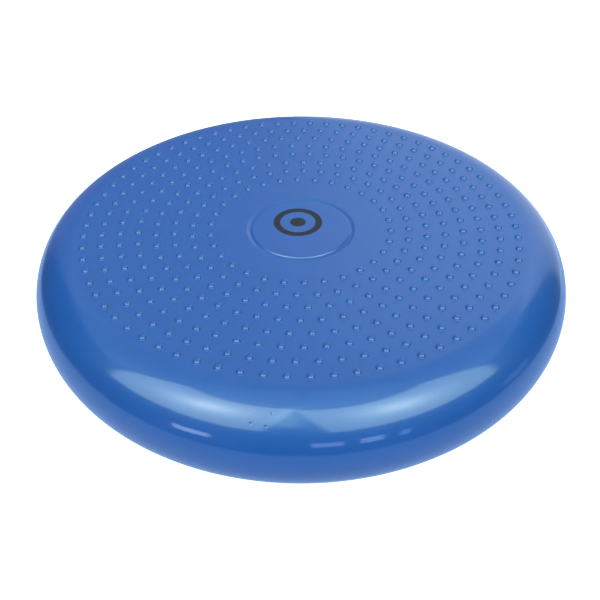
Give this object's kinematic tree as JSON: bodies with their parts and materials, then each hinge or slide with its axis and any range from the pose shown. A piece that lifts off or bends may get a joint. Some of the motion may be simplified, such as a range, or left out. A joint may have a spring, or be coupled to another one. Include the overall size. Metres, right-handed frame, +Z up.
{
  "type": "wobble cushion",
  "caption": "Round air-filled balance cushion of soft vinyl, knobbly on top, with a plug valve in its rim, for sitting or standing on.",
  "frame": {"origin": "centre of the flat underside, on the surface that the cushion rests on", "axes": "+Z up along the cushion's axis, towards the knobbly face; +Y points out through the valve"},
  "size_m": [0.35, 0.35, 0.065],
  "materials": {
    "blue_vinyl": "satin soft vinyl",
    "valve_rubber": "matt rubber",
    "plug_plastic": "moulded plastic"
  },
  "bodies": {
    "base": {"bottom_skin": "blue_vinyl", "lower_sidewall": "blue_vinyl"},
    "waist": {"waist_band": "blue_vinyl", "upper_sidewall": "blue_vinyl", "valve_seat": "valve_rubber", "valve_core": "valve_rubber"},
    "shoulder": {"top_rim": "blue_vinyl"},
    "seat": {"top_centre": "blue_vinyl"},
    "plug": {"valve_plug": "plug_plastic"}
  },
  "joints": [
    {"name": "tilt_side", "type": "hinge", "parent": "base", "child": "waist", "pos_m": [0, 0, 0.0325], "axis": [0, 1, 0], "range_deg": [-5, 5], "stiffness_Nm_per_rad": 60, "deforming": ["lower_sidewall"]},
    {"name": "tilt_fore", "type": "hinge", "parent": "waist", "child": "shoulder", "pos_m": [0, 0, 0.0325], "axis": [1, 0, 0], "range_deg": [-5, 5], "stiffness_Nm_per_rad": 60, "deforming": ["upper_sidewall"]},
    {"name": "press", "type": "slide", "parent": "shoulder", "child": "seat", "axis": [0, 0, -1], "range_m": [0, 0.015], "stiffness_N_per_m": 6000},
    {"name": "plug_pull", "type": "slide", "parent": "waist", "child": "plug", "axis": [0, 1, 0], "range_m": [0, 0.014]}
  ]
}
